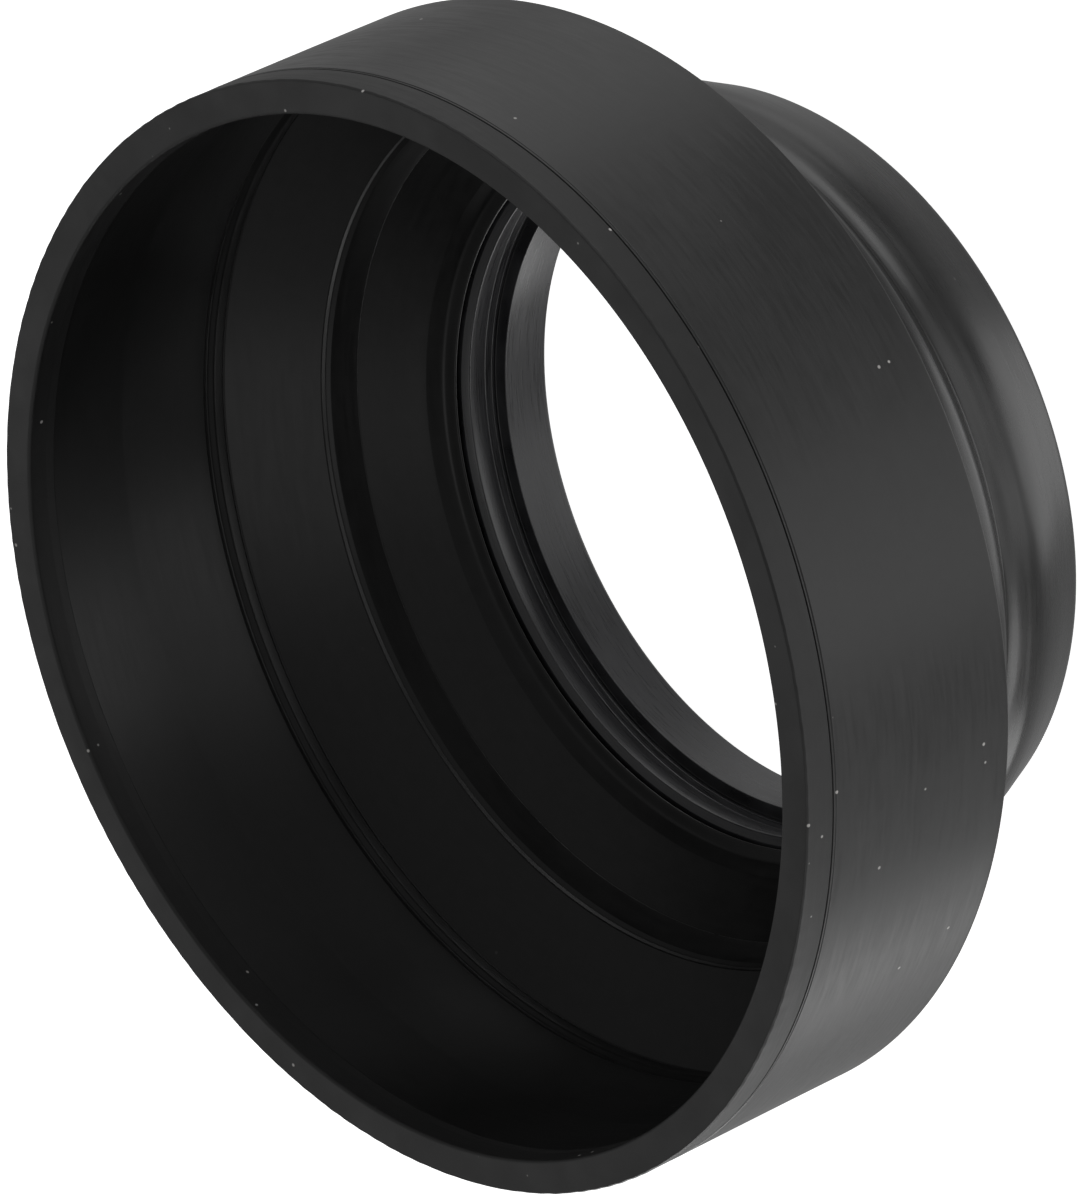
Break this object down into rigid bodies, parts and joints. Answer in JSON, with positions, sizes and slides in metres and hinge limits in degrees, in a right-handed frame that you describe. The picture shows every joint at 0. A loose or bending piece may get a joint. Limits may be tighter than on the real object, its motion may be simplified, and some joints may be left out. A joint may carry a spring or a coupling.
{
  "type": "lens hood",
  "caption": "Collapsible rubber lens hood on a threaded metal ring; the barrel pushes back over two folding webs to shorten it.",
  "frame": {"origin": "centre of the rear end of the mount thread, which is the lowest point", "axes": "+Z along the optical axis, from the lens towards the subject; X and Y are equal, because every piece is turned about Z"},
  "size_m": [0.0794, 0.0794, 0.0385],
  "materials": {
    "rubber": "matte black moulded rubber",
    "anodised_aluminium": "satin black anodised"
  },
  "bodies": {
    "mount": {"mount_ring": "anodised_aluminium", "rear_cuff": "rubber", "rear_fold_web": "rubber"},
    "middle": {"middle_rib": "rubber", "front_fold_web": "rubber"},
    "front": {"front_barrel": "rubber", "front_lip": "rubber"}
  },
  "joints": [
    {"name": "rear_fold", "type": "slide", "parent": "mount", "child": "middle", "axis": [0, 0, -1], "range_m": [0, 0.0052], "deforming": ["rear_fold_web"]},
    {"name": "front_fold", "type": "slide", "parent": "middle", "child": "front", "axis": [0, 0, -1], "range_m": [0, 0.0079], "deforming": ["front_fold_web"]}
  ]
}
